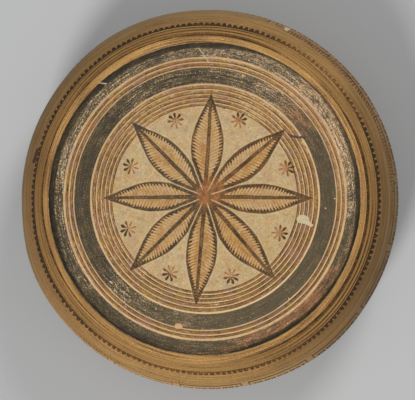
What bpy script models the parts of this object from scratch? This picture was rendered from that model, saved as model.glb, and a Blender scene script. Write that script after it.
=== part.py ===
"""A flat pyxis: a wide, low box of fired clay, thrown on the wheel and painted.

The pot stands mouth down on its lip, so its painted underside faces up.
The origin is the middle of the lip's plane, and +Z is the wheel's axis.
Lengths are in metres. Run it with blender --background --python part.py.
"""

from math import atan, cos, hypot, pi, sin

import bpy

MM = 0.001

# Outline of the pot
HEIGHT = 97 * MM  # from the lip to the resting ring
BELLY_RADIUS = 135 * MM  # the widest part of the wall
BELLY_HEIGHT = 42 * MM  # of the widest part, above the lip
FOOT_RADIUS = 112.8 * MM  # where the wall would meet the resting ring if its edge were sharp
LIP_RADIUS = 123 * MM  # where the wall would meet the lip's plane if its edge were sharp

# Underside: a narrow resting ring round a shallow hollow
RING_WIDTH = 5.2 * MM
HOLLOW_DEPTH = 7.5 * MM
COVE_WIDTH = 17 * MM  # the sloping margin of the hollow

# Thickness of the clay
WALL = 6 * MM
FLOOR = 6.5 * MM

# Rounded edges and the corner between the floor and the wall inside
FOOT_EDGE = 3 * MM
RING_EDGE = 1.3 * MM
LIP_OUTER_EDGE = 1.8 * MM
LIP_INNER_EDGE = 1.2 * MM
INNER_CORNER = 14 * MM

# How finely each stretch is cut into faces
TURN_STEPS = 80
COVE_STEPS = 7
EDGE_STEPS = 3
SHOULDER_STEPS = 9  # the wall from the belly to the resting ring
MOUTH_STEPS = 5  # the wall from the belly to the lip
CORNER_STEPS = 5
SEAM_GAP = 0.01 * MM  # points closer than this are merged where the turned shape closes
HALVINGS = 40  # enough to find a height to far less than a thousandth of a millimetre

UP = pi / 2
DOWN = -pi / 2
TO_AXIS = pi

CLAY_COLOUR = (0.42, 0.24, 0.11, 1)
CLAY_ROUGHNESS = 0.75


def wall_line(height):
    """The wall's outer radius at a height, and how fast the radius grows with height."""
    if height > BELLY_HEIGHT:
        narrowing, reach = BELLY_RADIUS - FOOT_RADIUS, HEIGHT - BELLY_HEIGHT
    else:
        narrowing, reach = BELLY_RADIUS - LIP_RADIUS, -BELLY_HEIGHT
    share = (height - BELLY_HEIGHT) / reach
    return BELLY_RADIUS - narrowing * share**2, -2 * narrowing * share / reach


def wall_point(height, depth=0.0):
    """The point (radius, height) that lies a depth inside the wall's outer face, square to it."""
    radius, slope = wall_line(height)
    length = hypot(1, slope)
    return radius - depth / length, height + depth * slope / length


def wall_angle(height):
    """The direction in which the wall faces at a height, as an angle above the horizontal."""
    return atan(-wall_line(height)[1])


def height_for(depth, level):
    """The height of the outer face behind which the point at this depth lies at this level."""
    low, high = -HEIGHT, 2 * HEIGHT
    for _ in range(HALVINGS):
        middle = (low + high) / 2
        if wall_point(middle, depth)[1] < level:
            low = middle
        else:
            high = middle
    return low


def spread(start, end, steps):
    """Evenly spaced values, both ends included."""
    return [start + (end - start) * step / steps for step in range(steps + 1)]


def arc(centre, radius, start, end, steps):
    """Points on a round arc in the section, both ends included."""
    return [(centre[0] + radius * cos(a), centre[1] + radius * sin(a)) for a in spread(start, end, steps)]


def wall_run(start, end, depth=0.0):
    """Points along the wall between two outer heights on either side of the belly, ends left out."""
    steps = {True: SHOULDER_STEPS, False: MOUTH_STEPS}
    heights = spread(start, BELLY_HEIGHT, steps[start > end])
    heights += spread(BELLY_HEIGHT, end, steps[start < end])[1:]
    return [wall_point(height, depth) for height in heights[1:-1]]


def underside():
    """The hollow floor, the cove round it and the ring's inner edge, from the axis outwards."""
    floor_level = HEIGHT - HOLLOW_DEPTH
    ring_inside = FOOT_RADIUS - RING_WIDTH
    cove_top = HEIGHT - RING_EDGE
    points = [(0, floor_level)]
    for turn in spread(UP, 0, COVE_STEPS):
        inwards = COVE_WIDTH * (1 - cos(turn))
        down = (cove_top - floor_level) * sin(turn)
        points.append((ring_inside - inwards, cove_top - down))
    edge_centre = (ring_inside + RING_EDGE, cove_top)
    return points + arc(edge_centre, RING_EDGE, TO_AXIS, UP, EDGE_STEPS)[1:]


def outer_wall():
    """The wall from the ring's outer edge over the belly to the lip's outer edge."""
    foot = height_for(FOOT_EDGE, HEIGHT - FOOT_EDGE)
    foot_centre = wall_point(foot, FOOT_EDGE)
    foot_edge = arc(foot_centre, FOOT_EDGE, UP, wall_angle(foot), EDGE_STEPS)

    lip = height_for(LIP_OUTER_EDGE, LIP_OUTER_EDGE)
    lip_centre = wall_point(lip, LIP_OUTER_EDGE)
    lip_edge = arc(lip_centre, LIP_OUTER_EDGE, wall_angle(lip), DOWN, EDGE_STEPS)
    return foot_edge + wall_run(foot, lip) + lip_edge


def inside():
    """The lip's inner edge, the inside of the wall, the round corner and the floor, to the axis."""
    lip_depth = WALL - LIP_INNER_EDGE
    lip = height_for(lip_depth, LIP_INNER_EDGE)
    lip_centre = wall_point(lip, lip_depth)
    lip_edge = arc(lip_centre, LIP_INNER_EDGE, DOWN, wall_angle(lip) - pi, EDGE_STEPS)

    floor_level = HEIGHT - HOLLOW_DEPTH - FLOOR
    corner_depth = WALL + INNER_CORNER
    corner = height_for(corner_depth, floor_level - INNER_CORNER)
    corner_centre = wall_point(corner, corner_depth)
    corner_arc = arc(corner_centre, INNER_CORNER, wall_angle(corner), UP, CORNER_STEPS)
    return lip_edge + wall_run(lip, corner, WALL) + corner_arc + [(0, floor_level)]


def clay():
    """The fired clay, a matt orange-brown."""
    material = bpy.data.materials.new("fired_clay")
    material.use_nodes = True
    shader = material.node_tree.nodes["Principled BSDF"]
    shader.inputs["Base Color"].default_value = CLAY_COLOUR
    shader.inputs["Roughness"].default_value = CLAY_ROUGHNESS
    shader.inputs["Metallic"].default_value = 0
    return material


def turned(name, section, material, collection):
    """A solid of revolution: the section, turned once round the wheel's axis."""
    mesh = bpy.data.meshes.new(name)
    points = [(radius, 0, height) for radius, height in section]
    mesh.from_pydata(points, [(i, i + 1) for i in range(len(points) - 1)], [])
    mesh.materials.append(material)
    solid = bpy.data.objects.new(name, mesh)
    collection.objects.link(solid)

    turn = solid.modifiers.new("Turn", "SCREW")
    turn.axis = "Z"
    turn.angle = 2 * pi
    turn.steps = TURN_STEPS
    turn.render_steps = TURN_STEPS
    turn.use_merge_vertices = True
    turn.merge_threshold = SEAM_GAP
    turn.use_smooth_shade = True
    return solid


def main():
    for old in list(bpy.data.objects):
        bpy.data.objects.remove(old, do_unlink=True)
    pyxis = bpy.data.collections.new("pyxis")
    bpy.context.scene.collection.children.link(pyxis)
    turned("pyxis_body", underside() + outer_wall() + inside(), clay(), pyxis)


main()
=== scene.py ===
"""A flat pyxis: a wide, low box of painted clay, standing mouth down on a pale floor.

Every line of the painting is worked out by the shaders from the place on the pot.
The pot's sizes are in metres and the painting's are in millimetres.
"""

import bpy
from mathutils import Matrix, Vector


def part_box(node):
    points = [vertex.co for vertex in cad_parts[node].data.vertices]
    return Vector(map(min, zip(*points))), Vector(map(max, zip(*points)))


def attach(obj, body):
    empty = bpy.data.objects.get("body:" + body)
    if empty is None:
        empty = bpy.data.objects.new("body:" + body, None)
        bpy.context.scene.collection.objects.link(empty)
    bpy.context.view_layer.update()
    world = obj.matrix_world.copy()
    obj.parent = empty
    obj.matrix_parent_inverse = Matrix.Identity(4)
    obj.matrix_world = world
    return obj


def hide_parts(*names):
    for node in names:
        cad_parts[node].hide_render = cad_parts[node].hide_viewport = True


bl_info = {
    "name": "Painted Flat Pyxis",
    "version": (1, 0, 0),
    "blender": (4, 5, 0),
    "location": "View3D > Sidebar > Pyxis",
    "description": "A wide, low clay box with a rosette of leaves painted on its underside",
    "category": "Add Mesh",
}

from math import atan, ceil, cos, hypot, pi, radians, sin

import bmesh
import bpy
from bpy.props import FloatProperty, FloatVectorProperty, IntProperty, PointerProperty
from mathutils import Matrix, Vector, noise

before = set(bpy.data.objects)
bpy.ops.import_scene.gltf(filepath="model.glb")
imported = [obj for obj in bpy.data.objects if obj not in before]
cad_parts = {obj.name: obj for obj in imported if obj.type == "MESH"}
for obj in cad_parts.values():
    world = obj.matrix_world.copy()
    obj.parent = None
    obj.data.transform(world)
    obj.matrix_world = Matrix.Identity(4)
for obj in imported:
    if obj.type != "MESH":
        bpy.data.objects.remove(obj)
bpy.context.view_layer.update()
NODE = "pyxis_body"
LOW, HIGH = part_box(NODE)
MM = 0.001
UP, DOWN, TO_AXIS = pi / 2, -pi / 2, pi

# How finely the clay's section is cut
FIRST_RING = 3  # fine steps from the axis to the first ring of points on the underside
COVE_STEPS = 18
EDGE_STEPS = 5
CORNER_STEPS = 8
WALL_STRETCH = 1.15  # about how much longer the wall's line is than its height
HALVINGS = 40  # enough to find a height to far less than a thousandth of a millimetre
SEAM_GAP = 1e-6  # points closer than this are merged where the turned shape closes


def linear(value):
    """A brightness as it shows on a screen, 0 to 255, in the linear values that Blender works with."""
    share = value / 255
    return share / 12.92 if share < 0.04 else ((share + 0.055) / 1.055) ** 2.4


def screen(red, green, blue):
    """A colour as it shows on a screen, each part from 0 to 255, in linear values."""
    return linear(red), linear(green), linear(blue)


def length(name, value, what):
    """A size in metres."""
    return FloatProperty(
        name=name, description=what, default=value, min=0, unit="LENGTH", subtype="DISTANCE"
    )


def colour(name, value, what):
    """A colour in linear values."""
    return FloatVectorProperty(
        name=name, description=what, default=value, min=0, max=1, subtype="COLOR"
    )


class PotShape(bpy.types.PropertyGroup):
    """Sizes of the turned clay, in metres. The height and the belly come from the frame."""

    height: length("Height", HIGH[2] - LOW[2], "From the lip to the resting ring")
    belly_radius: length("Belly radius", (HIGH[0] - LOW[0]) / 2, "Of the widest part of the wall")
    belly_height: length("Belly height", 0.042, "Of the widest part, above the lip")
    foot_radius: length("Foot radius", 0.1128, "Of the wall at the resting ring, if its edge were sharp")
    lip_radius: length("Lip radius", 0.123, "Of the wall at the lip, if its edge were sharp")
    ring_width: length("Ring width", 0.0052, "Of the resting ring")
    hollow_depth: length("Hollow depth", 0.0075, "Of the underside, inside the resting ring")
    cove_width: length("Cove width", 0.017, "Of the sloping margin of the hollow")
    wall: length("Wall", 0.006, "Thickness of the wall")
    floor: length("Floor", 0.0065, "Thickness of the floor")
    foot_edge: length("Foot edge", 0.003, "Radius of the rounding outside the resting ring")
    ring_edge: length("Ring edge", 0.0013, "Radius of the rounding inside the resting ring")
    lip_outer_edge: length("Outer lip edge", 0.0018, "Radius of the lip's outer rounding")
    lip_inner_edge: length("Inner lip edge", 0.0012, "Radius of the lip's inner rounding")
    inner_corner: length("Inner corner", 0.014, "Radius between the floor and the wall inside")
    fine_step: length("Fine step", 0.0011, "Between rings of points on the painted faces")
    coarse_step: length("Coarse step", 0.004, "Between rings of points inside the pot")
    turn_steps: IntProperty(name="Turn steps", description="Points round the pot", default=320, min=24)
    wheel_mark: length("Wheel mark", 0.00012, "Height of the ridges that the potter's fingers left")


class Finish(bpy.types.PropertyGroup):
    """Colours of the clay and of its paint."""

    pale_slip: colour("Pale slip", screen(190, 161, 119), "Ground of the rosette")
    warm_clay: colour("Warm clay", screen(172, 130, 78), "Bare clay of the wall and the resting ring")
    inner_clay: colour("Inner clay", screen(170, 122, 80), "Bare clay inside the pot")
    thin_paint: colour("Thin paint", screen(180, 137, 88), "Paint where it was thinned to a wash")
    brown_paint: colour("Brown paint", screen(134, 98, 56), "Paint of middling thickness")
    dark_paint: colour("Dark paint", screen(80, 62, 38), "Paint of nearly full thickness")
    black_paint: colour("Black paint", screen(44, 38, 27), "Full paint, unworn")
    band_paint: colour("Band paint", screen(74, 63, 45), "Full paint of the broad bands")
    rubbed_paint: colour("Rubbed paint", screen(112, 95, 68), "Full paint with its surface rubbed off")
    red_paint: colour("Red paint", screen(156, 96, 58), "Paint that the kiln turned red")
    chip: colour("Chip", screen(218, 198, 158), "Clay in a fresh chip")


class Stage(bpy.types.PropertyGroup):
    """The camera and the floor's colour."""

    distance: length("Camera distance", 1.655, "From the camera to the point that it looks at")
    lean: FloatProperty(
        name="Lean", description="Of the camera off the pot's axis", default=radians(4.1), subtype="ANGLE"
    )
    lens: FloatProperty(name="Lens", description="Focal length", default=201.7, unit="CAMERA")
    floor_tone: colour("Floor", screen(187, 187, 186), "Plain pale floor")


def wall_line(pot, height):
    """The wall's outer radius at a height, and how fast the radius grows with height."""
    if height > pot.belly_height:
        narrowing, reach = pot.belly_radius - pot.foot_radius, pot.height - pot.belly_height
    else:
        narrowing, reach = pot.belly_radius - pot.lip_radius, -pot.belly_height
    share = (height - pot.belly_height) / reach
    return pot.belly_radius - narrowing * share**2, -2 * narrowing * share / reach


def wall_point(pot, height, depth=0.0):
    """The point (radius, height) that lies a depth inside the wall's outer face, square to it."""
    radius, slope = wall_line(pot, height)
    long = hypot(1, slope)
    return radius - depth / long, height + depth * slope / long


def wall_angle(pot, height):
    """The direction in which the wall faces at a height, as an angle above the horizontal."""
    return atan(-wall_line(pot, height)[1])


def height_for(pot, depth, level):
    """The height of the outer face behind which the point at this depth lies at this level."""
    low, high = -pot.height, 2 * pot.height
    for _ in range(HALVINGS):
        middle = (low + high) / 2
        if wall_point(pot, middle, depth)[1] < level:
            low = middle
        else:
            high = middle
    return low


def spread(start, end, steps):
    """Evenly spaced values, both ends included."""
    return [start + (end - start) * step / steps for step in range(steps + 1)]


def arc(centre, radius, start, end, steps=EDGE_STEPS):
    """Points on a round arc in the section, both ends included."""
    return [(centre[0] + radius * cos(a), centre[1] + radius * sin(a)) for a in spread(start, end, steps)]


def wall_run(pot, start, end, step, depth=0.0):
    """Points along the wall between two outer heights, ends left out."""
    steps = ceil(abs(end - start) * WALL_STRETCH / step)
    return [wall_point(pot, height, depth) for height in spread(start, end, steps)[1:-1]]


def underside_line(pot):
    """The floor, its cove and the resting ring's inner edge, from the axis outwards."""
    floor_level = pot.height - pot.hollow_depth
    ring_inside = pot.foot_radius - pot.ring_width
    cove_top = pot.height - pot.ring_edge
    cove_foot = ring_inside - pot.cove_width
    first_ring = FIRST_RING * pot.fine_step
    floor_steps = ceil(cove_foot / pot.fine_step)
    points = [(0, floor_level)]
    points += [(radius, floor_level) for radius in spread(first_ring, cove_foot, floor_steps)]
    for turn in spread(UP, 0, COVE_STEPS)[1:]:
        inwards = pot.cove_width * (1 - cos(turn))
        down = (cove_top - floor_level) * sin(turn)
        points.append((ring_inside - inwards, cove_top - down))
    edge_centre = (ring_inside + pot.ring_edge, cove_top)
    return points + arc(edge_centre, pot.ring_edge, TO_AXIS, UP)[1:]


def outer_line(pot):
    """The wall from the resting ring's outer edge over the belly to the lip's outer edge."""
    foot = height_for(pot, pot.foot_edge, pot.height - pot.foot_edge)
    foot_edge = arc(wall_point(pot, foot, pot.foot_edge), pot.foot_edge, UP, wall_angle(pot, foot))
    lip = height_for(pot, pot.lip_outer_edge, pot.lip_outer_edge)
    lip_edge = arc(wall_point(pot, lip, pot.lip_outer_edge), pot.lip_outer_edge, wall_angle(pot, lip), DOWN)
    return foot_edge + wall_run(pot, foot, lip, pot.fine_step) + lip_edge


def inside_line(pot):
    """The lip's inner edge, the inside of the wall, the round corner and the floor, to the axis."""
    depth = pot.wall - pot.lip_inner_edge
    lip = height_for(pot, depth, pot.lip_inner_edge)
    lip_edge = arc(wall_point(pot, lip, depth), pot.lip_inner_edge, DOWN, wall_angle(pot, lip) - pi)
    floor_level = pot.height - pot.hollow_depth - pot.floor
    corner = height_for(pot, pot.wall + pot.inner_corner, floor_level - pot.inner_corner)
    centre = wall_point(pot, corner, pot.wall + pot.inner_corner)
    corner_arc = arc(centre, pot.inner_corner, wall_angle(pot, corner), UP, CORNER_STEPS)
    floor_steps = ceil(centre[0] / pot.coarse_step)
    floor_run = [(radius, floor_level) for radius in spread(centre[0], 0, floor_steps)[1:]]
    return lip_edge + wall_run(pot, lip, corner, pot.coarse_step, pot.wall) + corner_arc + floor_run


def turned(section, steps):
    """A bmesh of the section, (radius, height) points, spun once round the wheel's axis."""
    bm = bmesh.new()
    points = [bm.verts.new((radius, 0, height)) for radius, height in section]
    line = [bm.edges.new(pair) for pair in zip(points, points[1:])]
    bmesh.ops.spin(
        bm,
        geom=points + line,
        cent=(0, 0, 0),
        axis=(0, 0, 1),
        angle=2 * pi,
        steps=steps,
        use_merge=True,
        use_duplicate=False,
    )
    bmesh.ops.remove_doubles(bm, verts=bm.verts, dist=SEAM_GAP)
    bmesh.ops.recalc_face_normals(bm, faces=bm.faces)
    return bm


def finished(bm, name, materials):
    """A smooth-shaded object with its place in its mesh."""
    mesh = bpy.data.meshes.new(name)
    bm.to_mesh(mesh)
    bm.free()
    mesh.shade_smooth()
    for material in materials:
        mesh.materials.append(material)
    piece = bpy.data.objects.new(name, mesh)
    bpy.context.scene.collection.objects.link(piece)
    return piece


class Wire:
    """A value that runs through a material's nodes. Arithmetic on wires adds the nodes that do it."""

    def __init__(self, tree, socket):
        self.tree = tree
        self.socket = socket

    def math(self, operation, *others):
        """Adds a node that does arithmetic."""
        node = self.tree.nodes.new("ShaderNodeMath")
        node.operation = operation
        for slot, value in zip(node.inputs, (self, *others)):
            plug(slot, value)
        return Wire(self.tree, node.outputs[0])

    def __add__(self, other):
        return self.math("ADD", other)

    __radd__ = __add__

    def __sub__(self, other):
        return self.math("SUBTRACT", other)

    def __rsub__(self, other):
        return (self * -1) + other

    def __mul__(self, other):
        return self.math("MULTIPLY", other)

    def __truediv__(self, other):
        return self.math("DIVIDE", other)

    def __pow__(self, other):
        return self.math("POWER", other)

    def __abs__(self):
        return self.math("ABSOLUTE")

    def most(self, other):
        """The larger of the two."""
        return self.math("MAXIMUM", other)

    def least(self, other):
        """The smaller of the two."""
        return self.math("MINIMUM", other)

    def fraction(self):
        """The part after the whole number."""
        return self.math("FRACT")

    def below(self):
        """The whole number below."""
        return self.math("FLOOR")

    def between(self, low, high, soft):
        """1 from low to high and 0 outside, with soft edges."""
        return self.rise(low - soft, low + soft) * self.rise(high + soft, high - soft)

    def rise(self, start, end):
        """0 up to start and 1 past end, with a smooth step between. Start may be the larger."""
        node = self.tree.nodes.new("ShaderNodeMapRange")
        node.interpolation_type = "SMOOTHSTEP"
        for slot, value in zip(node.inputs, (self, start, end)):
            plug(slot, value)
        return Wire(self.tree, node.outputs[0])

    def ramp(self, stops, steps=False):
        """A grey value or colour looked up along stops of (place, value) from 0 to 1."""
        node = self.tree.nodes.new("ShaderNodeValToRGB")
        node.color_ramp.interpolation = "CONSTANT" if steps else "LINEAR"
        elements = node.color_ramp.elements
        while len(elements) < len(stops):
            elements.new(1.0)
        for element, (place, value) in zip(elements, stops):
            element.position = place
            element.color = (value, value, value, 1) if isinstance(value, (int, float)) else (*value, 1)
        plug(node.inputs[0], self)
        return Wire(self.tree, node.outputs[0])

    def colours(self, *stops):
        """A colour looked up along stops of (place, red, green, blue), as it shows on a screen."""
        return self.ramp([(place, screen(*tone)) for place, *tone in stops])

    def levels(self, stops):
        """A number looked up along stops of (place, value), whose places may be any numbers."""
        first, last = stops[0][0], stops[-1][0]
        share = (self - first) / (last - first)
        return share.ramp([((place - first) / (last - first), value) for place, value in stops])

    def parts(self):
        """The three numbers of a colour or vector."""
        node = self.tree.nodes.new("ShaderNodeSeparateXYZ")
        plug(node.inputs[0], self)
        return [Wire(self.tree, output) for output in node.outputs]


def plug(slot, value):
    """Links a wire to a node's socket, or sets the socket to a fixed value."""
    if isinstance(value, Wire):
        value.tree.links.new(value.socket, slot)
    else:
        slot.default_value = value


def mixed(share, first, second):
    """The first colour where the share is 0 and the second where it is 1."""
    node = share.tree.nodes.new("ShaderNodeMix")
    node.data_type = "RGBA"
    plug(node.inputs["Factor"], share)
    for slot, value in zip((node.inputs[6], node.inputs[7]), (first, second)):
        plug(slot, value if isinstance(value, Wire) else (*value, 1))
    return Wire(share.tree, node.outputs[2])


def washed(base, *washes):
    """The colour under washes, each with its share and its red, green and blue on a screen."""
    for share, *tone in washes:
        base = mixed(share, base, screen(*tone))
    return base


# How far a seed of 1 moves a pattern along x, y and z, in sizes of the pattern
NOISE_SHIFT = (7.3, 3.1, 5.7)
SPECK_SHIFT = (4.3, 8.1, 2.7)
STROKE_RADIUS = 90  # where brush strokes have their stated length, in millimetres from the axis
GLOSS = 0.22  # specular level of the matt clay and paint
RELIEF = 0.6  # strength of the clay's relief


class Ground:
    """A material, with the places on the pot that its patterns are worked out from, in millimetres."""

    def __init__(self, name):
        self.material = bpy.data.materials.new(name)
        self.material.use_nodes = True
        self.tree = self.material.node_tree
        self.shader = self.tree.nodes["Principled BSDF"]
        places = self.tree.nodes.new("ShaderNodeTexCoord")
        self.place = self.vector("MULTIPLY", Wire(self.tree, places.outputs["Object"]), (1 / MM,) * 3)
        self.x, self.y, self.z = self.place.parts()
        self.radius = (self.x * self.x + self.y * self.y).math("SQRT")
        self.turn = self.turn_of(self.x, self.y)
        self.out_x, self.out_y = self.x / self.radius, self.y / self.radius
        self.grain = self.noise(1.15, 3, 1, rough=0.65) - 0.5

    def vector(self, operation, *values):
        """Arithmetic on vectors."""
        node = self.tree.nodes.new("ShaderNodeVectorMath")
        node.operation = operation
        for slot, value in zip(node.inputs, values):
            plug(slot, value)
        return Wire(self.tree, node.outputs[0])

    def turn_of(self, x, y):
        """The direction of (x, y) as a share of a full turn, from 0 at +X to 1."""
        return (y.math("ARCTAN2", x) / (2 * pi) + 1).fraction()

    def joined(self, x, y, z):
        """A vector of three numbers."""
        node = self.tree.nodes.new("ShaderNodeCombineXYZ")
        for slot, value in zip(node.inputs, (x, y, z)):
            plug(slot, value)
        return Wire(self.tree, node.outputs[0])

    def texture(self, kind, place, size, seed, shift):
        """A texture node that reads the place, scaled to the size and moved by the seed."""
        node = self.tree.nodes.new(kind)
        moved = tuple(step * seed for step in shift)
        plug(node.inputs["Vector"], self.vector("MULTIPLY_ADD", place, (1 / size,) * 3, moved))
        node.inputs["Scale"].default_value = 1
        return node

    def noise(self, size, detail, seed, place=None, rough=0.5):
        """Soft blotches of about this size, around 0.5."""
        node = self.texture("ShaderNodeTexNoise", place or self.place, size, seed, NOISE_SHIFT)
        node.inputs["Detail"].default_value = detail
        node.inputs["Roughness"].default_value = rough
        return Wire(self.tree, node.outputs[0])

    def specks(self, size, seed):
        """The distance to the nearest of many scattered points, as a share of their spacing."""
        node = self.texture("ShaderNodeTexVoronoi", self.place, size, seed, SPECK_SHIFT)
        return Wire(self.tree, node.outputs[0])

    def streaks(self, long, wide, across, seed):
        """Blotches drawn out along the brush's way round the pot. Across runs over the stroke."""
        reach = STROKE_RADIUS / long
        place = self.joined(self.out_x * reach, self.out_y * reach, across / wide)
        return self.noise(1, 3, seed, place, 0.6)

    def wobble(self, size, reach, seed):
        """An unsteady shift of up to about the reach either way."""
        return (self.noise(size, 2, seed) - 0.5) * (2 * reach)

    def round_pot(self, stops):
        """An amount that changes round the pot, from (degrees, amount) stops that start at 0."""
        around = [(degrees / 360, amount) for degrees, amount in stops]
        return self.turn.ramp([*around, (1, stops[0][1])])

    def rows_round_pot(self, rows):
        """Three amounts that change round the pot, from (degrees, first, second, third) rows."""
        return self.round_pot([(row[0], row[1:]) for row in rows]).parts()

    def from_line(self, start, end):
        """Distance from the straight line between two places, seen from above."""
        run = (end[0] - start[0], end[1] - start[1])
        size = run[0] ** 2 + run[1] ** 2
        dx, dy = self.x - start[0], self.y - start[1]
        share = ((dx * run[0] + dy * run[1]) / size).most(0).least(1)
        across, along = dx - share * run[0], dy - share * run[1]
        return (across * across + along * along).math("SQRT")

    def finish(self, base, roughness, height, depth):
        """Gives the material a colour, a roughness and a relief, whose depth is in metres."""
        plug(self.shader.inputs["Base Color"], base)
        plug(self.shader.inputs["Roughness"], roughness)
        self.shader.inputs["Specular IOR Level"].default_value = GLOSS
        bump = self.tree.nodes.new("ShaderNodeBump")
        bump.inputs["Strength"].default_value = RELIEF
        bump.inputs["Distance"].default_value = depth
        plug(bump.inputs["Height"], height)
        plug(self.shader.inputs["Normal"], Wire(self.tree, bump.outputs[0]))
        return self.material


def glaze(thickness, bare, red, tones):
    """Colour of brushed paint: a wash where it is thin, black where it is thick, and partly red."""
    brown = thickness.ramp(
        [
            (0.0, tones.thin_paint),
            (0.45, tones.brown_paint),
            (0.75, tones.dark_paint),
            (1.0, tones.black_paint),
        ]
    )
    warm = mixed(red, brown, tones.red_paint)
    return mixed(thickness.rise(0.0, 0.3), bare, warm)


def speckled(ground, base, amount, light, dark):
    """The colour with the light and dark grains of the clay in it."""
    light_grain, dark_grain = (ground.grain * 4).rise(0.1, 0.9), (ground.grain * -4).rise(0.1, 0.9)
    return washed(base, (light_grain * amount, *light), (dark_grain * amount, *dark))


# The rosette: each leaf's direction in degrees, its length, and its half-width on its clockwise side
# and on the other
ROSETTE_MIDDLE = (0.3, 1.4)
LEAVES = (
    (40.0, 72.9, 11.1, 9.8),
    (86.5, 71.6, 10.7, 11.9),
    (134.5, 72.6, 10.9, 11.2),
    (180.8, 71.2, 11.0, 9.8),
    (224.6, 73.6, 11.1, 10.1),
    (265.1, 75.6, 9.9, 11.6),
    (310.4, 75.5, 12.0, 9.8),
    (359.2, 75.0, 11.4, 9.5),
)
# How orange each leaf is on its clockwise side and on the other, and how brown its outline is
LEAF_TINTS = (
    (0.65, 0.25, 0.9),
    (0.35, 0.55, 0.35),
    (0.15, 0.55, 0.1),
    (0.45, 0.6, 0.2),
    (0.5, 0.5, 0.25),
    (0.6, 0.65, 0.4),
    (0.9, 0.65, 0.5),
    (0.25, 0.45, 0.7),
)
# Directions of the gaps between the leaves, in degrees
LEAF_GAPS = (19.6, 63.3, 110.5, 157.6, 202.7, 244.8, 287.7, 334.8)
# The stars between the leaves: direction and turn in degrees, with the distance from the rosette's
# middle between them, and how stained the heart is
STARS = (
    (19.2, 59.6, -8, 0.9),
    (65.9, 57.7, -10, 1.0),
    (111.2, 56.4, -12, 0.5),
    (157.9, 55.6, 5, 0.3),
    (202.8, 57.9, -5, 0.0),
    (245.4, 58.3, -8, 0.2),
    (288.2, 57.9, -3, 0.5),
    (334.1, 57.5, 22, 0.9),
)
STAR_REACH = 70  # the distances of the stars are kept as shares of this
STAR_RAYS = 8
RAY_WIDTHS = (  # half of a ray's width at distances from the star's middle
    (0, 0), (1, 0.2), (2.4, 0.5), (4.2, 0.95), (5.2, 0.85), (6, 0), (7, 0),
)
LEAF_REACH = 100  # the lengths of the leaves are kept as shares of this
LEAF_BREADTH = 20  # and their half-widths as shares of this
LEAF_STROKE_SPACING = 2.25  # between the slanting strokes inside the leaves

# State of the rosette's stripes, and of those between the bands, at directions in degrees:
# how dark their inner edge is, how dark their middle is, and how worn they are
STRIPE_STATE = (
    (0, 0.95, 0.42, 0.05), (20, 0.95, 0.42, 0.1), (35, 0.95, 0.42, 0.15), (48, 0.85, 0.38, 0.2),
    (56, 0.7, 0.34, 0.45), (66, 0.7, 0.36, 0.5), (74, 1, 0.44, 0.3), (88, 1, 0.46, 0.25),
    (105, 0.95, 0.44, 0.3), (122, 0.85, 0.46, 0.5), (134, 0.8, 0.46, 0.6), (146, 0.95, 0.5, 0.4),
    (165, 1, 0.54, 0.3), (180, 0.95, 0.54, 0.55), (198, 1, 0.54, 0.75), (212, 1, 0.54, 0.6),
    (225, 1, 0.54, 0.4), (245, 1, 0.52, 0.25), (275, 1, 0.54, 0.2), (300, 1, 0.58, 0.1),
    (335, 1, 0.58, 0.05),
)
BAND_STRIPE_STATE = (
    (0, 0.85, 0.42, 0.3), (18, 0.8, 0.38, 0.5), (40, 0.85, 0.4, 0.45), (65, 0.9, 0.38, 0.5),
    (80, 0.95, 0.44, 0.4), (95, 1, 0.52, 0.3), (120, 1, 0.58, 0.4), (132, 0.85, 0.64, 0.8),
    (142, 1, 0.66, 0.5), (165, 1, 0.64, 0.5), (195, 1, 0.62, 0.7), (212, 1, 0.58, 0.4),
    (245, 1, 0.58, 0.2), (262, 0.8, 0.48, 0.3), (282, 0.95, 0.6, 0.2), (300, 1, 0.7, 0.1),
    (330, 1, 0.68, 0.1), (345, 0.9, 0.56, 0.15),
)
# Inner and outer radius of the narrow stripes and of the two broad bands
STRIPES = ((64.2, 66.1), (66.8, 69.0), (69.6, 71.9), (72.5, 75.2), (75.9, 78.6))
BAND_STRIPES = ((91.6, 94.0), (94.9, 96.9))
INNER_BAND = (79.7, 90.8)
OUTER_BAND = (98.4, 107.8)
# Radii between which the rosette's field turns into the clay between the stripes, and the bands' clay
# into the resting ring's, and where the line outside the ring starts
FIELD_EDGE = (63.6, 64.4)
RING_START = (107.2, 108.2)
BORDER_START = 111.5

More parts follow.
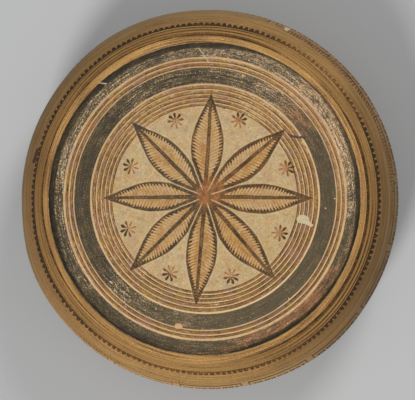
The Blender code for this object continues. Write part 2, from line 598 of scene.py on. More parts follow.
# Wear, unevenness and redness of the paint of the two broad bands at directions in degrees
INNER_BAND_STATE = (
    (0, 0.38, 0.25, 0), (15, 0.38, 0.3, 0.05), (28, 0.4, 0.45, 0.25), (42, 0.46, 0.55, 0.45),
    (52, 0.52, 0.75, 0.3), (65, 0.51, 0.8, 0.1), (78, 0.45, 0.8, 0), (90, 0.36, 0.8, 0),
    (110, 0.32, 0.8, 0), (125, 0.36, 0.9, 0), (140, 0.3, 0.7, 0), (160, 0.28, 0.45, 0),
    (180, 0.3, 0.4, 0), (205, 0.3, 0.5, 0), (218, 0.33, 0.9, 0), (228, 0.4, 0.95, 0),
    (240, 0.46, 0.65, 0), (258, 0.47, 0.5, 0), (275, 0.43, 0.35, 0), (300, 0.42, 0.25, 0),
    (318, 0.42, 0.25, 0.1), (335, 0.4, 0.22, 0),
)
OUTER_BAND_STATE = (
    (0, 0.54, 1, 0.05), (18, 0.66, 1, 0.45), (30, 0.69, 1, 0.6), (45, 0.66, 0.95, 0.55),
    (60, 0.64, 0.85, 0.4), (72, 0.57, 0.85, 0.2), (90, 0.47, 0.85, 0), (110, 0.44, 0.8, 0),
    (130, 0.48, 0.95, 0), (150, 0.52, 1, 0), (168, 0.5, 1, 0), (182, 0.41, 0.95, 0),
    (200, 0.38, 1, 0), (215, 0.36, 0.8, 0), (235, 0.37, 0.6, 0.05), (255, 0.39, 0.5, 0),
    (270, 0.44, 0.5, 0.15), (285, 0.47, 0.45, 0.45), (300, 0.49, 0.45, 0.7), (314, 0.49, 0.5, 0.95),
    (324, 0.48, 0.5, 0.8), (335, 0.43, 0.5, 0.25), (350, 0.45, 0.7, 0),
)
# How strongly the line beside the resting ring, the fine lines and the domes still show
SHOULDER_STATE = (
    (0, 1, 0.15, 1), (22, 0.95, 0.05, 0.9), (32, 0.45, 0.05, 0.48), (45, 0.25, 0.05, 0.22),
    (57, 0.25, 0.05, 0.28), (66, 0.45, 0.2, 0.65), (78, 0.7, 0.8, 0.9), (92, 0.45, 0.6, 0.9),
    (110, 0.4, 0.5, 0.95), (135, 0.45, 0.6, 0.9), (150, 0.35, 0.15, 0.9), (168, 0.6, 0.1, 0.9),
    (188, 0.6, 0.15, 0.95), (202, 0.6, 0.3, 1), (222, 0.4, 0.3, 0.8), (235, 0.25, 0.15, 0.55),
    (250, 0.1, 0.1, 0.45), (264, 0.08, 0.05, 0.42), (280, 0.15, 0.1, 0.48), (292, 0.45, 0.28, 0.55),
    (308, 0.8, 0.75, 0.7), (325, 0.9, 0.95, 0.95), (345, 1, 0.9, 1), (353, 1, 0.5, 1),
)

# Amounts that change round the pot, each as stops of a direction in degrees and an amount:
# brightness of the clay between the rosette's stripes, and beside those between the bands
ROSETTE_BRIGHT = ((0, 0.7), (40, 0.5), (65, 0.3), (100, 0.2), (160, 0.2), (200, 0.5), (260, 0.8), (300, 1))
BAND_BRIGHT = ((0, 0.6), (40, 0.5), (100, 0.3), (150, 0.2), (185, 0.5), (240, 0.8), (270, 1), (330, 0.9))
# how far the outer band is moved inwards, in millimetres, and how wide its blacker outer edge is
OUTER_BAND_SHIFT = ((0, 0), (80, 0), (95, 0.35), (115, 0.35), (130, 0))
BLACK_EDGE = (
    (0, 0.95), (12, 0.9), (20, 0.6), (34, 0.3), (52, 0.15), (66, 0.25), (78, 0.7), (92, 0.9), (150, 0.95),
    (188, 0.9), (205, 0.5), (222, 0.3), (238, 0.2), (278, 0), (288, 0.5), (300, 0.8), (318, 0.65),
    (335, 0.35), (350, 0.6),
)
# how much darker the bare clay is; painted shade on the wall's sides that turn from the lamps; grey dust on
# the wall, partly a painted sheen; and a painted pool of light on the wall from the belly down
# how much darker the bare clay of the ring and wall is at directions round the pot
CLAY_DARKENING = (
    (0, 0.1), (25, 0), (100, 0), (150, 0.1), (178, 0.5), (190, 0.5), (215, 0.4), (240, 0.1), (285, 0.1),
    (335, 0.3),
)
# painted shade on the wall from the shoulder down, darker on the sides that turn away from the key lamp
WALL_PAINTED_SHADE = (
    (0, 0.9), (40, 0.4), (70, 0.25), (100, 0.5), (150, 0.5), (200, 0.2), (240, 0), (290, 0.05), (330, 0.85),
)
# grey dust on the lower wall, partly a painted grey sheen towards the belly
WALL_DUST_AND_SHEEN = ((0, 0.9), (190, 0.9), (225, 0.3), (290, 0.4), (320, 0.9))
# a painted pool of light on the lower wall, on the side that faces the key lamp
WALL_PAINTED_LIGHT = ((0, 0), (205, 0), (230, 0.5), (290, 0.5), (315, 0))
# how far the fine lines and the domes sit lower, and how far the domes run into each other
LINES_DROP = (
    (0, 0.3), (40, 0.5), (80, 0.6), (105, 1), (125, 1), (142, 0.7), (160, 0), (235, 0.1), (260, 0.5),
    (285, 1), (300, 1), (325, 0.7),
)
DOMES_JOINED = ((0, 0.3), (45, 0.1), (75, 0.3), (170, 0.4), (190, 1), (225, 1), (245, 0.3))
# how far the frieze still shows, how red its paint is, the slant of its ticks, and where its ticks
# and rails are
FRIEZE_SHOWS = (
    (0, 0.6), (12, 0.8), (65, 0.9), (80, 0.1), (220, 0.1), (235, 0.5), (262, 0.5), (275, 0.8), (345, 0.8),
)
FRIEZE_RED = ((0, 0.2), (25, 0.5), (35, 0.8), (68, 0.8), (78, 0.2), (95, 0), (340, 0))
TICK_SLANT = ((0, 0.3), (15, 0.5), (30, 0.8), (45, 0.2), (60, 0.5), (220, 0.5), (240, 0.9), (270, 0.5))
TICKS = (
    (0, 0.6), (10, 0.8), (64, 0.9), (66, 0), (224, 0), (228, 0.7), (242, 0.7), (245, 0), (256, 0),
    (258, 0.6), (264, 0.6), (266, 0), (350, 0), (355, 0.5),
)
RAILS = ((0, 0), (10, 0.3), (20, 0.9), (56, 0.9), (66, 0.3), (70, 0), (350, 0))

# Thickness of the lines' paint at heights on the wall: on the shoulder, and at the lip
SHOULDER_LINES = (
    (89.0, 0), (89.4, 1), (90.1, 1), (90.5, 0), (92.1, 0), (92.5, 1), (93.3, 1), (93.7, 0), (95.2, 0),
    (95.6, 0.7), (96.3, 0.7), (97, 0),
)
LIP_LINES = (
    (1, 0.8), (19.4, 0.8), (20, 0), (22, 0), (22.3, 0.6), (23.2, 0.6), (23.5, 0), (24, 0),
)
DOMES = 191  # in the row round the shoulder
DOME_SPACING, DOME_TOP = 4.2, 88.0

# The frieze: framed panels, each with a meander of legs that join above and below by turns
PANELS, PANEL_WIDTH = 17, 49.5
FRIEZE_MIDDLE = 45.5  # height of the frieze's middle
FRAME_SIDE, FRAME_TOP = 21.8, 17.2  # from a panel's middle out and up to its frame
KEYS, KEY_WIDTH = 5.2, 9.5  # of the meander, in each panel
LEG, LEG_REACH = 2.4, 9.0  # from a key's middle out to its legs, and up or down to their ends
TICK_TURN = 1.05  # degrees from tick to tick


def sectors(turn, borders):
    """A number that grows by one at each border, given in degrees, with 0 to 1 in the first sector."""
    count = len(borders)
    first = borders[0] / 360
    around = (turn - first + 1).fraction()
    stops = [((border / 360 - first) % 1, index / count) for index, border in enumerate(borders)]
    return around.ramp([*stops, (1, 1)]) * count


def pick(index, rows):
    """Three numbers from the row of the index, each given as a share from 0 to 1."""
    stops = [(number / len(rows), row) for number, row in enumerate(rows)]
    return ((index.below() + 0.5) / len(rows)).ramp(stops, steps=True).parts()


class Rosette:
    """Places within the rosette: which leaf a point is in, and where in that leaf, in millimetres."""

    def __init__(self, ground):
        self.x = ground.x - ROSETTE_MIDDLE[0] + ground.wobble(9, 0.35, 21)
        self.y = ground.y - ROSETTE_MIDDLE[1] + ground.wobble(9, 0.35, 22)
        self.reach = (self.x * self.x + self.y * self.y).math("SQRT")
        self.turn = ground.turn_of(self.x, self.y)
        self.sector = sectors(self.turn, LEAF_GAPS)
        ways, breadths = [], []
        for angle, far, right, left in LEAVES:
            ways.append(((cos(radians(angle)) + 1) / 2, (sin(radians(angle)) + 1) / 2, far / LEAF_REACH))
            breadths.append((right / LEAF_BREADTH, left / LEAF_BREADTH, 0))
        cos_share, sin_share, long_share = pick(self.sector, ways)
        right_share, left_share, _ = pick(self.sector, breadths)
        way_x, way_y = cos_share * 2 - 1, sin_share * 2 - 1
        self.along = self.x * way_x + self.y * way_y
        across = self.y * way_x - self.x * way_y
        self.side = across.rise(-0.01, 0.01)
        self.off = abs(across)
        self.share = self.along / (long_share * LEAF_REACH)
        half = (right_share + self.side * (left_share - right_share)) * LEAF_BREADTH
        to_gap = self.reach * self.sector.fraction().math("PINGPONG", 0.5) * (2 * pi / len(LEAVES))
        arch = (self.share * pi).math("SINE").most(0) ** 0.9 * (1 - self.share.rise(0.55, 1.0) * 0.26)
        in_leaf = (half * arch - self.off).least(to_gap - self.reach.rise(2, 8) * 0.36)
        self.inside = in_leaf + self.reach.rise(5, 2.5) * 0.7
        slant = (self.along - self.off * 0.5) / LEAF_STROKE_SPACING
        slant = slant + (ground.noise(6, 1, 8) - 0.5) * 0.8
        self.stroke = (slant * (2 * pi)).math("COSINE")


def leaf_strokes(ground, rose, brown):
    """Thickness of the paint of the leaves' outlines, of the dabs inside them and of the midribs."""
    blot = ground.noise(7, 2, 10) - 0.5
    brush = ground.noise(1.2, 3, 9, rough=0.7) - 0.5
    edge = rose.inside + blot * 0.8 - brown * 0.5
    solid = ground.noise(12, 2, 28).rise(0.44, 0.54)
    solid = solid.most(rose.reach.rise(30, 18)).most(rose.share.rise(0.8, 0.88))
    outline = (edge - solid).rise(1.4, 0.8) * (0.66 + solid * 0.14)
    dab = ((rose.stroke * -1 + 0.3 + blot * 1.5) * 7).most(0).least(3.1 + brown * 0.3 - brush * 1.6)
    dabs = (dab - rose.inside).rise(-0.15, 0.35) * rose.inside.rise(0.2, 0.9) * rose.reach.rise(15, 22)
    midrib = (rose.off + rose.share * 0.6).rise(1.75, 1.35) * rose.reach.rise(3, 6)
    core = (0.6 - rose.off).rise(-0.3, 0.2) * ground.noise(16, 2, 23).rise(0.46, 0.54)
    thick = outline.most(dabs * 0.95).most(midrib * (0.84 - core * 0.22))
    return (thick + (brush * 1.8 + blot * 0.8) * thick.rise(0.0, 0.4)).most(0).least(1)


def leaf_colour(thickness, inside, reddish):
    """The greyish olive paint of the leaves, redder near the heart."""
    cool = thickness.colours((0, 172, 128, 78), (0.4, 134, 100, 60), (0.75, 94, 74, 46), (1, 60, 50, 34))
    warm = thickness.colours((0, 178, 120, 72), (0.4, 148, 97, 56), (0.75, 114, 75, 43), (1, 80, 56, 36))
    return mixed(thickness.rise(0.0, 0.3), inside, mixed(reddish, cool, warm))


def leaf_inside(ground, rose, right, left):
    """Colour inside the leaves: orange and cream washes with slanting strokes."""
    tint = right + rose.side * (left - right)
    wash = ground.noise(6, 3, 15) - 0.5
    pool = (tint + wash * 3.2).rise(0.3, 0.8)
    clear = 0.45 + ground.noise(10, 2, 27).rise(0.4, 0.56) * 0.55
    veins = rose.stroke.rise(0.1, -0.9) * (0.3 + tint * 0.45) * clear
    glint = rose.stroke.rise(0.2, 0.9) * rose.inside.between(2.4, 6.2, 0.8) * (wash + 0.6).least(1) * clear
    base = washed(
        mixed(pool, screen(185, 150, 104), screen(172, 124, 70)),
        (ground.noise(9, 2, 26).rise(0.52, 0.64) * 0.5, 186, 146, 74),
        (veins, 158, 104, 52),
        (glint, 214, 181, 134),
    )
    return speckled(ground, base, 0.6, (218, 184, 138), (134, 94, 56))


def leaves(ground, rose):
    """Colour of the leaves and of the reddened heart where they meet."""
    right, left, brown = pick(rose.sector, LEAF_TINTS)
    inside = leaf_inside(ground, rose, right, left)
    near = rose.reach - ground.x * 0.34 - ground.y * 0.27 + ground.wobble(4, 5, 25)
    thickness = leaf_strokes(ground, rose, brown)
    rubbed = ground.grain.rise(0.1, 0.2) * thickness.rise(0.4, 0.8) * (1 - brown)
    strokes = washed(
        leaf_colour(thickness, inside, (brown * 0.5).most(near.rise(14, 7))),
        (thickness.rise(0.5, 1.0) * (0.9 - brown * 3).most(0), 73, 68, 60),
        (rubbed * 0.6, 206, 184, 152),
    )
    blotch = ground.noise(2.6, 3, 24) + ground.grain * 0.5
    heart = blotch.colours(
        (0.36, 118, 86, 56), (0.5, 154, 102, 58), (0.6, 168, 108, 60), (0.72, 182, 108, 76)
    )
    return mixed(near.rise(9.5, 4.5) * 0.85, strokes, heart)


def star_strokes(ground, rose):
    """Thickness of the stars' rays, their redness and the stain at their hearts."""
    borders = [leaf[0] - 360 * (leaf[0] > 350) for leaf in LEAVES[-1:] + LEAVES[:-1]]
    index = sectors(rose.turn, borders)
    places, hearts = [], []
    for angle, far, twist, heart in STARS:
        x, y = far * cos(radians(angle)), far * sin(radians(angle))
        places.append(((x / STAR_REACH + 1) / 2, (y / STAR_REACH + 1) / 2, (angle + twist) / 360 % 1))
        hearts.append((heart, 0.0, 0.0))
    star_x, star_y, star_turn = pick(index, places)
    heart = pick(index, hearts)[0]
    dx, dy = rose.x - (star_x * 2 - 1) * STAR_REACH, rose.y - (star_y * 2 - 1) * STAR_REACH
    far = (dx * dx + dy * dy).math("SQRT")
    turn = ground.turn_of(dx, dy) - star_turn
    off = abs((turn * STAR_RAYS + 0.5).fraction() - 0.5) * far * (2 * pi / STAR_RAYS)
    facing = (turn * (2 * pi)).math("COSINE").rise(-0.5, 0.4)
    half = far.levels(RAY_WIDTHS) * (0.65 + facing * 0.35)
    ray = (half - off + ground.grain * 2).rise(-0.2, 0.25) * far.rise(6.1, 5.7)
    paint = ray * (0.32 + facing * 0.5)
    stain = far.rise(4.2, 1.2) * heart
    return paint, (1 - facing) * 0.4 + stain * 0.4, stain


def stripe_colour(ground, stripes, state, bare, tones):
    """Colour of narrow stripes on the bare clay, darkest along their inner edge, in the state given."""
    edges, cores, worn = ground.rows_round_pot(state)
    radius = ground.radius + ground.wobble(25, 0.3, 12)
    edge_stops, core_stops = [(stripes[0][0] - 1, 0.0)], [(stripes[0][0] - 1, 0.0)]
    for inner, outer in stripes:
        edge_stops += [(inner - 0.2, 0.0), (inner + 0.15, 1.0), (inner + 1.0, 0.4)]
        edge_stops += [(outer - 0.6, 0.1), (outer - 0.2, 0.5), (outer + 0.15, 0.0)]
        core_stops += [(inner - 0.1, 0.0), (inner + 0.15, 1.0), (outer - 0.2, 0.8), (outer + 0.1, 0.0)]
    edge = radius.levels([*edge_stops, (stripes[-1][1] + 1, 0.0)])
    core = radius.levels([*core_stops, (stripes[-1][1] + 1, 0.0)])
    streak = ground.streaks(20, 0.6, radius, 11) - 0.5
    dashes = ground.streaks(5, 0.6, radius, 14) - 0.5
    paint = (edge * edges * 0.9).most(core * cores)
    uneven = ground.grain * 1.1 + streak * 1.2 + dashes * worn * 3
    paint = (paint + uneven * core.rise(0, 0.3) - worn * 0.12).most(0).least(0.92)
    warm = ground.noise(11, 3, 16).rise(0.47, 0.6) * 0.3
    painted = glaze(paint, bare, warm, tones)
    painted = tinged(ground, painted, 18, screen(168, 130, 112), screen(176, 144, 76))
    chalk = (ground.grain * 2.5 + dashes * 2.5).rise(0.4, 0.8) * worn
    return mixed(chalk * 0.6, painted, screen(214, 188, 148))


def tinged(ground, painted, seed, cool, warm, amount=0.25):
    """The colour with faint cool and warm clouds in it."""
    cloud = ground.noise(7, 3, seed) - 0.5
    painted = mixed(cloud.rise(0.02, 0.14) * amount, painted, cool)
    return mixed(cloud.rise(-0.02, -0.14) * amount, painted, warm)


def brushed_paint(ground, seed, state, tones):
    """Colour of full paint. The state gives how far it is worn, how uneven it is and how red."""
    wear, unevenness, red = state
    grain = ground.noise(0.9, 3, seed, rough=0.65) - 0.5
    streak = ground.streaks(14, 0.8, ground.radius, seed + 1) - 0.5
    patchy = ground.noise(8, 3, seed + 2) - 0.5
    mottle = grain * 2.8 + streak * 2.0 + patchy * 0.7
    share = wear - 0.05 + mottle.most(mottle * 0.65) * unevenness
    painted = share.ramp(
        [
            (0.0, tones.black_paint),
            (0.26, tones.band_paint),
            (0.52, tones.rubbed_paint),
            (0.74, screen(166, 136, 102)),
            (1.0, tones.chip),
        ]
    )
    painted = tinged(ground, painted, seed + 5, screen(64, 68, 62), screen(98, 86, 54))
    blush = (red + patchy * 1.3 + streak * 1.9 + grain * 0.5).rise(0.2, 0.95)
    warm = share.colours((0.15, 104, 70, 42), (0.5, 152, 100, 62), (0.75, 188, 140, 96), (1, 218, 186, 146))
    painted = mixed(blush * 0.85, painted, warm)
    flecks = (ground.streaks(3, 0.7, ground.radius, seed + 4) + wear * 0.25 - 0.12).rise(0.6, 0.68)
    painted = mixed(flecks * unevenness * 0.85, painted, screen(218, 198, 162))
    return mixed(ground.specks(11, seed + 3).rise(0.065, 0.03) * 0.8, painted, tones.chip)


def inner_band(ground, tones):
    """Cover and colour of the inner dark band."""
    edge = ground.radius + ground.wobble(12, 0.3, 13)
    state = ground.rows_round_pot(INNER_BAND_STATE)
    return edge.between(*INNER_BAND, 0.25), brushed_paint(ground, 31, state, tones)


def outer_band(ground, tones):
    """Cover and colour of the outer dark band, which is blacker along its outer edge."""
    moved = ground.round_pot(OUTER_BAND_SHIFT)
    edge = ground.radius + moved + ground.wobble(12, 0.3, 53) + ground.wobble(3, 0.35, 58)
    wear, unevenness, red = ground.rows_round_pot(OUTER_BAND_STATE)
    inset = ground.round_pot(BLACK_EDGE)
    strip = (edge + ground.wobble(5, 0.8, 57) + inset * 3.4).rise(106.6, 108.2) * inset.rise(0.0, 0.2)
    state = (wear - strip * 0.34, unevenness * (1 - strip * 0.5), red * (1 - strip))
    return edge.between(*OUTER_BAND, 0.25), brushed_paint(ground, 51, state, tones)


def clay_height(ground, seed):
    """Height map of the bare surface: fine grain and small pits."""
    return ground.grain * 0.8 - ground.specks(3.1, seed).rise(0.16, 0.05) * 0.6


def rosette_material(tones):
    """The pale field with its rosette, stars and five stripes, out to the middle of the inner band."""
    ground = Ground("rosette_slip")
    rose = Rosette(ground)
    mottle = ground.noise(5, 4, 2)
    cloud = ground.noise(18, 3, 3)

    field = washed(
        mixed(cloud.rise(0.38, 0.62), screen(196, 169, 125), tones.pale_slip),
        (ground.noise(13, 2, 4).rise(0.52, 0.66) * 0.5, 188, 150, 102),
        (mottle.rise(0.5, 0.66) * 0.6, 178, 144, 96),
        (mottle.rise(0.44, 0.34) * 0.5, 184, 168, 126),
    )
    field = tinged(ground, field, 19, screen(176, 163, 124), screen(202, 160, 108), 0.35)
    field = speckled(ground, field, 0.75, (222, 198, 156), (142, 112, 72))
    between = mixed(ground.round_pot(ROSETTE_BRIGHT), screen(196, 162, 114), screen(226, 194, 148))
    pale = mixed(ground.radius.rise(*FIELD_EDGE), field, between)
    painted = stripe_colour(ground, STRIPES, STRIPE_STATE, pale, tones)

    star_paint, star_red, stain = star_strokes(ground, rose)
    painted = mixed(stain * 0.55, painted, screen(176, 116, 64))
    painted = glaze(star_paint, painted, star_red, tones)

    leaf = rose.inside.rise(-0.1, 0.25)
    halo = rose.inside.between(-1.1, -0.1, 0.3) * rose.reach.rise(20, 30) * rose.share.rise(0.97, 0.93)
    painted = mixed(halo * 0.16, painted, screen(218, 196, 152))
    painted = mixed(leaf, painted, leaves(ground, rose))

    band, band_colour = inner_band(ground, tones)
    painted = mixed(band, painted, band_colour)
    painted = marked(ground, painted, UNDERSIDE_MARKS)
    roughness = 0.8 - band * 0.15 + ground.grain * 0.2
    return ground.finish(painted, roughness, clay_height(ground, 5) + rose.stroke * leaf * 0.1, 0.3 * MM)


def band_material(tones):
    """The inner band's outer half, the two stripes, the outer band and the resting ring's inner half."""
    ground = Ground("band_paint")
    bare = mixed(ground.round_pot(BAND_BRIGHT), screen(198, 162, 118), screen(220, 184, 138))
    bare = mixed(ground.noise(18, 3, 3).rise(0.35, 0.7) * 0.4, bare, screen(176, 136, 92))
    bare = speckled(ground, bare, 0.6, (232, 208, 166), (146, 108, 70))
    bare = mixed(ground.radius.rise(*RING_START), bare, ring_clay(ground, tones))

    painted = stripe_colour(ground, BAND_STRIPES, BAND_STRIPE_STATE, bare, tones)
    inner, inner_colour = inner_band(ground, tones)
    outer, outer_colour = outer_band(ground, tones)
    painted = mixed(inner, painted, inner_colour)
    painted = mixed(outer, painted, outer_colour)
    painted = marked(ground, painted, BAND_MARKS)
    roughness = 0.8 - inner.most(outer) * 0.15 + ground.grain * 0.2
    return ground.finish(painted, roughness, clay_height(ground, 5), 0.3 * MM)


# Chips, scratches and stray strokes: start and end of each, half its width and its colour
PALE_MARK, PEACH_MARK, DARK_MARK = screen(202, 187, 150), screen(214, 166, 122), screen(74, 62, 56)
UNDERSIDE_MARKS = (
    ((66.6, -14.1), (69.2, -14.7), 3.0, PALE_MARK),
    ((70.6, -16.2), (73.6, -18.6), 1.2, screen(208, 184, 152)),
    ((58.0, 44.6), (60.6, 42.8), 0.6, DARK_MARK),
    ((60.6, 42.8), (69.0, 41.9), 0.95, DARK_MARK),
    ((7.2, 64.7), (14.1, 62.6), 0.45, DARK_MARK),
)
BAND_MARKS = (
    ((-18.9, -88.2), (-17.4, -88.3), 1.8, PEACH_MARK),
    ((-57.2, -60.7), (-54.3, -77.6), 0.2, screen(178, 160, 128)),
    ((-62.5, -62.5), (-61.0, -65.0), 0.3, PALE_MARK),
    ((-65.5, -57.5), (-64.5, -58.5), 0.5, PALE_MARK),
    ((-3.9, 104.0), (3.1, 94.0), 0.25, PALE_MARK),
    ((-72.5, 80.0), (-68.2, 79.6), 0.4, PALE_MARK),
)
WALL_MARKS = (
    ((56.0, 119.6), (56.4, 120.6), 1.8, screen(208, 190, 146)),
    ((-119.8, 26.4), (-117.6, 33.4), 1.7, screen(66, 46, 36)),
)


def marked(ground, painted, marks, shows=1):
    """The painted colour with its chips, scratches and stray strokes, where they show."""
    ragged = ground.wobble(2.4, 0.9, 17)
    for start, end, half, tone in marks:
        away = ground.from_line(start, end) + ragged * min(1.2, half)
        mark = away.rise(half + 0.15, half - 0.15) * shows
        painted = mixed(mark * (0.9 + ground.grain * 2).least(1), painted, tone)
    return painted


def ring_clay(ground, tones):
    """Colour of the bare clay on the resting ring and the wall, brushed round."""
    broad = ground.noise(16, 4, 61)
    streak = ground.streaks(30, 0.6, ground.z - ground.radius, 62) - 0.5
    shade = streak * 2.1 + ground.grain + (broad - 0.5) * 0.5
    return washed(
        mixed(broad.rise(0.35, 0.68), tones.warm_clay, screen(160, 118, 68)),
        (shade.rise(0.0, 0.4), 214, 168, 98),
        ((shade * -1).rise(0.0, 0.4), 94, 64, 34),
        # darker at some directions round the pot
        (ground.round_pot(CLAY_DARKENING), 120, 84, 46),
    )


def shoulder_paint(ground, height):
    """Thickness of the fine lines on the shoulder and of the domes that hang from the lowest of them."""
    main, fine, strong = ground.rows_round_pot(SHOULDER_STATE)
    drop = ground.round_pot(LINES_DROP)
    z = height + drop * 1.4
    across = ground.radius - BORDER_START - drop
    border = across.rise(-0.2, 0.2) * (main * 1.6 + 0.4 - across).rise(-0.2, 0.3) * main.rise(0, 0.6)
    border = border * (0.55 + ground.noise(7, 3, 85).rise(0.4, 0.65) * 0.3)
    lines = (z.levels(SHOULDER_LINES) * fine * 0.7).most(border)

    beads = (ground.turn * DOMES + ground.wobble(14, 0.25, 78)).fraction() - 0.5
    joined = ground.round_pot(DOMES_JOINED)
    dot_x, dot_z = beads * DOME_SPACING / (joined * 0.45 + 1.7), (z - DOME_TOP) / (joined * 0.8 + 3.9)
    away = (dot_x * dot_x + dot_z * dot_z).math("SQRT") + (ground.noise(2.5, 2, 79) - 0.5) * 0.7
    hollow = (0.7 - away).rise(0.0, 0.4) * ground.noise(14, 2, 80).rise(0.45, 0.6) * 0.35
    base_line = z.between(DOME_TOP - 1.1, DOME_TOP + 0.1, 0.2) * (0.5 + strong * 0.4)
    domes = ((1 - away).rise(-0.1, 0.12) - hollow) * z.rise(DOME_TOP + 0.3, DOME_TOP - 0.1)
    return lines.most(domes.most(base_line) * (0.1 + strong * 0.85))


def frieze_paint(ground, level):
    """Thickness of the frieze round the belly: framed panels with a meander, and ticks above them."""
    panel = (ground.turn * PANELS + 0.71).fraction()
    side = abs(panel - 0.5) * PANEL_WIDTH
    off = abs(level - FRIEZE_MIDDLE)
    frame_line = 1 - abs(((side - FRAME_SIDE) * 2).most((off - FRAME_TOP) / 1.1))
    unit = ((panel - 0.5) * KEYS + 0.25).fraction() * KEY_WIDTH - KEY_WIDTH / 2
    fold = abs(unit)
    leg = abs(fold - LEG).most(off - LEG_REACH)
    upper = (fold - LEG).most(abs(level - (FRIEZE_MIDDLE + LEG_REACH)))
    lower = (LEG - fold).most(abs(level - (FRIEZE_MIDDLE - LEG_REACH)))
    key = (0.55 - abs(leg.least(upper).least(lower) - 0.9)).least(19.5 - side)

    lean = (level - 60) * (ground.round_pot(TICK_SLANT) - 0.5) * 0.3
    teeth = ground.turn * 360 / TICK_TURN + ground.wobble(8, 0.5, 74) + lean
    teeth = abs(teeth.fraction() - 0.5).rise(0.18, 0.32) * ground.noise(5, 2, 83).rise(0.3, 0.5)
    ticks = teeth * level.between(60.0, 69.5, 0.3) * ground.round_pot(TICKS)
    rails = level.between(66.3, 67.7, 0.3).most(level.between(60.8, 62.4, 0.3))
    rails = rails * ground.noise(7, 2, 84).rise(0.4, 0.55) * ground.round_pot(RAILS)
    meander = (frame_line.rise(-0.1, 0.4) * 0.75).most(key.rise(-0.15, 0.15))
    return meander.most(ticks * 0.7).most(rails * 0.8)


def wall_material(tones):
    """The resting ring's outer half, the fine lines, the domes, the frieze and the lip's band."""
    ground = Ground("wall_paint")
    z = ground.z + ground.wobble(20, 0.25, 71)
    smear = ground.streaks(70, 3.5, ground.z, 73)
    _, fine, _ = ground.rows_round_pot(SHOULDER_STATE)
    # grey dust towards the belly, partly a painted sheen
    dust_and_sheen = ground.z.rise(80, 60) * ground.noise(12, 4, 77).rise(0.3, 0.6) * ground.round_pot(WALL_DUST_AND_SHEEN)
    bare = washed(
        ring_clay(ground, tones),
        # painted shade on the sides of the wall that turn away from the key lamp
        (ground.round_pot(WALL_PAINTED_SHADE) * ground.z.rise(89.0, 82.0), 118, 88, 52),
        (z.between(88.2, 96.2, 0.6) * 0.3, 122, 84, 38),
        (z.between(88.2, 95.4, 0.4) * fine * 0.4, 180, 138, 78),
        (smear.rise(0.48, 0.62) * 0.3, 190, 146, 84),
        # grey dust and painted sheen towards the belly
        (dust_and_sheen * 0.7, 146, 125, 92),
        # painted light low on the wall, on the side that faces the key lamp
        (ground.z.rise(70, 58) * ground.round_pot(WALL_PAINTED_LIGHT), 206, 168, 112),
    )

    shows = ground.round_pot(FRIEZE_SHOWS) + (ground.z + ground.wobble(16, 14, 88)).rise(50, 38)
    worn = ground.noise(9, 3, 75).rise(0.45, 0.7)
    frieze = frieze_paint(ground, z) * shows.least(0.9) * (1 - worn * 0.5)
    paint = z.levels(LIP_LINES).most(frieze).most(shoulder_paint(ground, z))
    paint = (paint + ground.grain * 1.8 * paint.rise(0.0, 0.3)).most(0).least(1)
    hue = ground.noise(6, 2, 76)
    brown = washed(
        paint.colours((0, 150, 106, 56), (0.45, 106, 70, 30), (0.8, 64, 42, 20), (1, 38, 28, 16)),
        (hue.rise(0.5, 0.64) * 0.2, 96, 46, 28),
        (hue.rise(0.5, 0.38) * 0.4, 50, 50, 24),
        (ground.z.rise(76, 70) * ground.round_pot(FRIEZE_RED) * hue.rise(0.42, 0.54), 124, 78, 50),
    )
    above_belly = (ground.z + ground.wobble(2, 2, 87)).rise(54, 55)
    painted = marked(ground, mixed(paint.rise(0.0, 0.25), bare, brown), WALL_MARKS, above_belly)
    roughness = 0.82 - paint * 0.12 + ground.grain * 0.2
    return ground.finish(painted, roughness, clay_height(ground, 6) + smear * 0.6, 0.4 * MM)


def inside_material(tones):
    """Bare clay inside, with the marks of the potter's fingers."""
    ground = Ground("inner_clay")
    streak = ground.streaks(50, 1.6, ground.z + ground.radius, 81)
    cloud = ground.noise(24, 4, 82)
    base = washed(
        mixed(cloud.rise(0.35, 0.7), tones.inner_clay, screen(140, 98, 62)),
        (streak.rise(0.45, 0.7) * 0.4, 186, 140, 96),
        ((ground.grain * 4).rise(0.1, 0.9) * 0.3, 196, 156, 112),
    )
    roughness = 0.85 + ground.grain * 0.2
    return ground.finish(base, roughness, clay_height(ground, 7) + streak * 0.7, 0.4 * MM)


# How far the belly stands off a true circle, in millimetres, at each direction in degrees
OUT_OF_ROUND = (
    (0, -1.0), (30, -0.9), (60, -0.8), (90, -0.6), (120, 0.4), (150, -1.0), (180, -1.2), (205, 1.1),
    (230, 0.5), (260, -0.2), (280, -0.1), (305, 0.4), (335, -1.2), (360, -1.0),
)
ROUND_POWER = 6  # how fast the unevenness dies away towards the axis

# The ridges that the potter's fingers left on the wall
RIDGE_SPACING = 7.5 * MM
RIDGES_FROM, RIDGES_TO, RIDGES_FADE = 4 * MM, 94 * MM, 6 * MM
RIDGE_WANDER, WANDERS = 3, 20  # how far they stray, in radians, and how often in a metre

# Radii at which the rosette's material and that of the bands end
ROSETTE_END = 85 * MM  # in the middle of the inner band
BANDS_END = 110 * MM  # on the resting ring


def held(value):
    """The value, held between 0 and 1."""
    return min(1, max(0, value))


def off_round(degrees):
    """How far the belly stands off a true circle in a direction, in millimetres."""
    for (start, low), (end, high) in zip(OUT_OF_ROUND, OUT_OF_ROUND[1:]):
        if degrees <= end:
            share = (1 - cos(pi * (degrees - start) / (end - start))) / 2
            return low + (high - low) * share
    return OUT_OF_ROUND[-1][1]


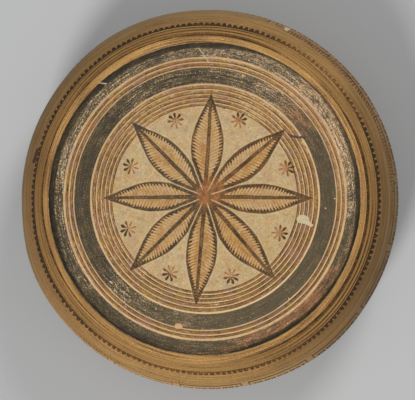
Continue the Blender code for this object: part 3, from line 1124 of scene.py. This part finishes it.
def settle(bm, pot):
    """Gives the turned clay its wheel marks and its slightly uneven roundness."""
    bm.normal_update()
    for point in bm.verts:
        x, y, z = point.co
        radius = hypot(x, y)
        if radius < SEAM_GAP:
            continue
        degrees = Vector((x, y)).angle_signed(Vector((1, 0))) * 180 / pi % 360
        share = (radius / pot.belly_radius) ** ROUND_POWER
        push = off_round(degrees) * MM * share
        wander = RIDGE_WANDER * noise.noise(Vector((x, y, z)) * WANDERS)
        ridge = sin(z * 2 * pi / RIDGE_SPACING + wander) * pot.wheel_mark
        ridged = held((RIDGES_TO - z) / RIDGES_FADE) * held((z - RIDGES_FROM) / RIDGES_FADE)
        push += ridge * ridged * abs(point.normal.xy.length)
        point.co.x += push * x / radius
        point.co.y += push * y / radius


class PYXIS_OT_build_pot(bpy.types.Operator):
    """Turn the clay pot and paint it"""

    bl_idname = "pyxis.build_pot"
    bl_label = "Build the Painted Pot"
    bl_options = {"REGISTER", "UNDO"}

    def execute(self, context):
        pot, tones = context.scene.pyxis_shape, context.scene.pyxis_finish
        bm = turned(underside_line(pot) + outer_line(pot) + inside_line(pot), pot.turn_steps)
        within_floor = pot.height - pot.hollow_depth - pot.floor / 2
        for face in bm.faces:
            middle = face.calc_center_median()
            radius = hypot(middle.x, middle.y)
            outer = wall_line(pot, middle.z)[0]
            if middle.z > within_floor and radius < ROSETTE_END:
                face.material_index = 0
            elif middle.z > within_floor and radius < BANDS_END:
                face.material_index = 1
            elif radius > outer - pot.wall / 2:
                face.material_index = 2
            else:
                face.material_index = 3
        settle(bm, pot)
        makers = (rosette_material, band_material, wall_material, inside_material)
        piece = finished(bm, "painted_pyxis", [make(tones) for make in makers])
        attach(piece, "root")
        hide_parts(NODE)
        return {"FINISHED"}


# The lights: name, place, width across and power
LIGHTS = (
    ("key_light", (-0.62, -1.44, 1.65), 0.6, 32),
    ("fill_light", (0.8, 1.43, 1.48), 0.8, 21.5),
)
LIT_POINT = (0, 0, 0.05)
SKY_COLOUR, SKY_STRENGTH = (0.9, 0.95, 1.0, 1), 0.29
FLOOR_REACH = 3  # half the floor's width
PAPER_ROUGHNESS = 0.9
SENSOR_WIDTH = 36  # in millimetres
SEEN_POINT = Vector((-0.0014, -0.0007, 0.042))  # where the camera looks
CAMERA_TILT = -0.005  # of the camera's way back from the pot, towards the photograph's lower edge


def lamp(name, place, size, power):
    """A round area light that shines on the pot."""
    light = bpy.data.lights.new(name, "AREA")
    light.shape = "DISK"
    light.size = size
    light.energy = power
    holder = bpy.data.objects.new(name, light)
    bpy.context.scene.collection.objects.link(holder)
    holder.location = place
    holder.rotation_euler = (Vector(LIT_POINT) - Vector(place)).to_track_quat("-Z", "Y").to_euler()


class PYXIS_OT_set_stage(bpy.types.Operator):
    """Set the floor, the soft lights and the camera"""

    bl_idname = "pyxis.set_stage"
    bl_label = "Set the Stage"
    bl_options = {"REGISTER", "UNDO"}

    def execute(self, context):
        stage = context.scene.pyxis_stage
        bm = bmesh.new()
        bmesh.ops.create_grid(bm, x_segments=1, y_segments=1, size=FLOOR_REACH)
        paper = bpy.data.materials.new("stage_paper")
        paper.use_nodes = True
        shader = paper.node_tree.nodes["Principled BSDF"]
        shader.inputs["Base Color"].default_value = (*stage.floor_tone, 1)
        shader.inputs["Roughness"].default_value = PAPER_ROUGHNESS
        finished(bm, "stage_floor", [paper])

        for light in LIGHTS:
            lamp(*light)
        world = bpy.data.worlds.new("studio")
        context.scene.world = world
        world.use_nodes = True
        sky = world.node_tree.nodes["Background"]
        sky.inputs["Color"].default_value = SKY_COLOUR
        sky.inputs["Strength"].default_value = SKY_STRENGTH

        camera = bpy.data.cameras.new("camera")
        camera.lens = stage.lens
        camera.sensor_width = SENSOR_WIDTH
        holder = bpy.data.objects.new("camera", camera)
        context.scene.collection.objects.link(holder)
        back = Vector((sin(stage.lean), CAMERA_TILT, cos(stage.lean))).normalized()
        right = Vector((0, 1, 0)).cross(back).normalized()
        upright = Matrix((right, back.cross(right), back)).transposed()
        holder.location = SEEN_POINT + back * stage.distance
        holder.rotation_euler = upright.to_euler()
        context.scene.camera = holder
        context.scene.view_settings.view_transform = "Standard"
        return {"FINISHED"}


class PYXIS_PT_panel(bpy.types.Panel):
    """Sizes, colours and buttons of the pyxis"""

    bl_label = "Painted Pyxis"
    bl_idname = "PYXIS_PT_panel"
    bl_space_type = "VIEW_3D"
    bl_region_type = "UI"
    bl_category = "Pyxis"

    def draw(self, context):
        layout = self.layout
        for group, operator in (
            (context.scene.pyxis_shape, "pyxis.build_pot"),
            (context.scene.pyxis_stage, "pyxis.set_stage"),
        ):
            for name in group.__annotations__:
                layout.prop(group, name)
            layout.operator(operator)
        for name in context.scene.pyxis_finish.__annotations__:
            layout.prop(context.scene.pyxis_finish, name)


CLASSES = (PotShape, Finish, Stage, PYXIS_OT_build_pot, PYXIS_OT_set_stage, PYXIS_PT_panel)


def register():
    for cls in CLASSES:
        bpy.utils.register_class(cls)
    bpy.types.Scene.pyxis_shape = PointerProperty(type=PotShape)
    bpy.types.Scene.pyxis_finish = PointerProperty(type=Finish)
    bpy.types.Scene.pyxis_stage = PointerProperty(type=Stage)


def unregister():
    for name in ("pyxis_shape", "pyxis_finish", "pyxis_stage"):
        delattr(bpy.types.Scene, name)
    for cls in reversed(CLASSES):
        bpy.utils.unregister_class(cls)


def main():
    register()
    bpy.ops.pyxis.build_pot()
    bpy.ops.pyxis.set_stage()
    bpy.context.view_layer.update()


if __name__ == "__main__":
    main()
